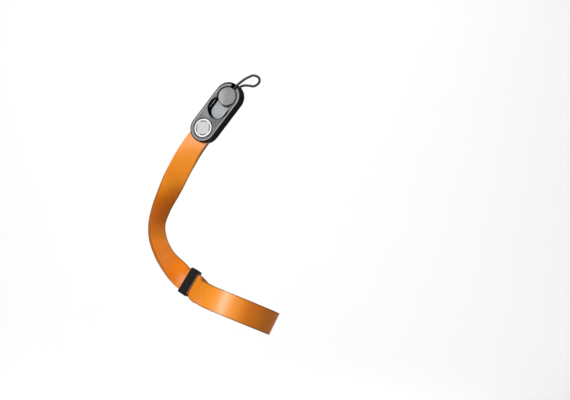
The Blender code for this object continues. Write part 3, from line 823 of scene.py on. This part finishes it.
def makeCapArcs(look):
    inner, outer = look["radius"]
    bm = bmesh.new()
    for quarter in range(4):
        start = radians(90 * quarter - look["turn"] / 2 + look["lean"])
        low, high = -look["sunk"], look["proud"]
        corners = [(inner, low), (outer, low), (outer, high), (inner, high)]
        ring = [bm.verts.new((r * cos(start), r * sin(start), look["level"] + z)) for r, z in corners]
        bmesh.ops.spin(bm, geom=[bm.faces.new(ring)], cent=(0, 0, 0), axis=(0, 0, 1),
                       angle=radians(look["turn"]), steps=look["steps"])
    bmesh.ops.recalc_face_normals(bm, faces=bm.faces)
    bm.transform(housing)
    mesh = bpy.data.meshes.new("cap_arcs")
    bm.to_mesh(mesh)
    bm.free()
    mesh.materials.append(blackBase)
    piece = bpy.data.objects.new("cap_arcs", mesh)
    bpy.context.scene.collection.objects.link(piece)
    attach(piece, "strap")


makeCapArcs(capArcs)
print("cap arcs made")


# Keeper: black, with the light cut edge of its mouth
keeper = {
    "mouth": (0.795, -0.375, -0.478),  # the way that its mouth over the loop faces
    "mouthNear": 0.6,  # a face turned this near to that way is part of the mouth
    "cutEdge": (0.330, 0.250, 0.170),
    "dark": (0.190, 0.140, 0.100),
    "roughness": 0.5,
    "grain": (1500.0, 4.0, 0.6),
    "halfWidth": 7.6 * mm,  # the cut edge shows this far to either side of the middle
    "fade": 0.1 * mm,
}


def mouthMaterial(look):
    material, tree, shader = startMaterial("keeper mouth", look["cutEdge"], look["roughness"])
    grain = noise(tree, objectSpots(tree), *look["grain"])
    middle, heading, across = keeperFrame(course)
    frameOf = Matrix((across, heading, across.cross(heading))).transposed().to_4x4()
    frameOf.translation = middle
    aside = maths(tree, "ABSOLUTE", framedSpots(tree, frameOf.inverted())["X"])
    side = rescale(tree, aside, 0.0, 1.0, look["halfWidth"], look["halfWidth"] + look["fade"])
    cut = blendColours(tree, grain, look["cutEdge"], look["dark"])
    tree.links.new(blendColours(tree, side, cut, plastic["pale"]), shader.inputs["Base Color"])
    return material


def makeKeeper(look):
    finish = [plasticMaterial("black keeper", plastic), mouthMaterial(look)]
    piece = finishedCopy("keeper", "keeper_sleeve", "strap", finish)
    for face in piece.data.polygons:
        if face.normal.dot(Vector(look["mouth"])) > look["mouthNear"]:
            face.material_index = 1


makeKeeper(keeper)
print("keeper finished")


# Floor, backdrop and soft light
stage = {
    "floor": -0.16,  # its height
    "near": -3.0,  # along Y, where it starts
    "far": 1.6,  # along Y, where the wall stands
    "bend": 0.8,  # radius of the bend from floor to wall
    "bendSteps": 12,
    "top": 3.4,
    "width": 9.0,
    "roughness": 0.9,
    "floorColour": (0.40, 0.40, 0.40),  # pale grey under the strap
    "wallColour": (0.92, 0.92, 0.92),
    "fade": (0.10, 0.65),  # where along Y the floor turns into the wall's white
}


def makeStage(look):
    bm = bmesh.new()
    reach = look["far"] - look["bend"]
    line = [Vector((0, look["near"], look["floor"])), Vector((0, reach, look["floor"]))]
    for step in range(1, look["bendSteps"] + 1):
        angle = radians(90) * step / look["bendSteps"]
        height = look["floor"] + look["bend"] * (1 - cos(angle))
        line.append(Vector((0, reach + look["bend"] * sin(angle), height)))
    line.append(Vector((0, look["far"], look["top"])))
    points = [bm.verts.new(spot - Vector((look["width"] / 2, 0, 0))) for spot in line]
    edges = [bm.edges.new(pair) for pair in zip(points, points[1:])]
    made = bmesh.ops.extrude_edge_only(bm, edges=edges)["geom"]
    moved = [item for item in made if isinstance(item, bmesh.types.BMVert)]
    bmesh.ops.translate(bm, verts=moved, vec=(look["width"], 0, 0))
    mesh = bpy.data.meshes.new("backdrop")
    bm.to_mesh(mesh)
    bm.free()
    mesh.shade_smooth()
    backdrop = bpy.data.objects.new("backdrop", mesh)
    bpy.context.scene.collection.objects.link(backdrop)
    material, tree, shader = startMaterial("pale backdrop", look["wallColour"], look["roughness"])
    along = addNode(tree, "ShaderNodeSeparateXYZ", {"Vector": objectSpots(tree)}).outputs["Y"]
    share = rescale(tree, along, 0.0, 1.0, *look["fade"])
    colour = blendColours(tree, share, look["floorColour"], look["wallColour"])
    tree.links.new(colour, shader.inputs["Base Color"])
    mesh.materials.append(material)


softboxes = {
    "key": {"place": (-0.97, -1.17, 0.55), "size": 0.70, "power": 25.0},
    "top": {"place": (0.75, -0.05, 1.20), "size": 0.90, "power": 2.1, "spread": 50, "glossy": False},
    "fill": {"place": (1.30, -1.20, 0.30), "size": 1.20, "power": 0.6},
}
wallLight = {
    "place": (0, 0.10, 1.70), "aim": (0.03, 1.40, 0.05), "cone": 66, "blend": 0.6, "radius": 0.25,
    "power": 105.0,
}
sky = {"colour": (1.0, 1.0, 1.0), "strength": 0.12}


def placeLamp(data, place, aim):
    lamp = bpy.data.objects.new(data.name, data)
    lamp.location = place
    lamp.rotation_euler = (Vector(aim) - Vector(place)).to_track_quat("-Z", "Y").to_euler()
    bpy.context.scene.collection.objects.link(lamp)
    return lamp


def addSoftbox(name, look):
    data = bpy.data.lights.new(name, "AREA")
    data.shape = "DISK"
    data.size = look["size"]
    data.energy = look["power"]
    data.spread = radians(look.get("spread", 180))
    placeLamp(data, look["place"], (0, 0, 0.06)).visible_glossy = look.get("glossy", True)


def addWallLight(look):
    data = bpy.data.lights.new("wall light", "SPOT")
    data.spot_size = radians(look["cone"])
    data.spot_blend = look["blend"]
    data.shadow_soft_size = look["radius"]
    data.energy = look["power"]
    placeLamp(data, look["place"], look["aim"])


bpy.context.scene.view_settings.view_transform = "Standard"
makeStage(stage)
for name, look in softboxes.items():
    addSoftbox(name, look)
addWallLight(wallLight)
world = bpy.context.scene.world or bpy.data.worlds.new("sky")
bpy.context.scene.world = world
world.use_nodes = True
background = world.node_tree.nodes["Background"]
background.inputs["Color"].default_value = (*sky["colour"], 1)
background.inputs["Strength"].default_value = sky["strength"]
print("stage and lights set")
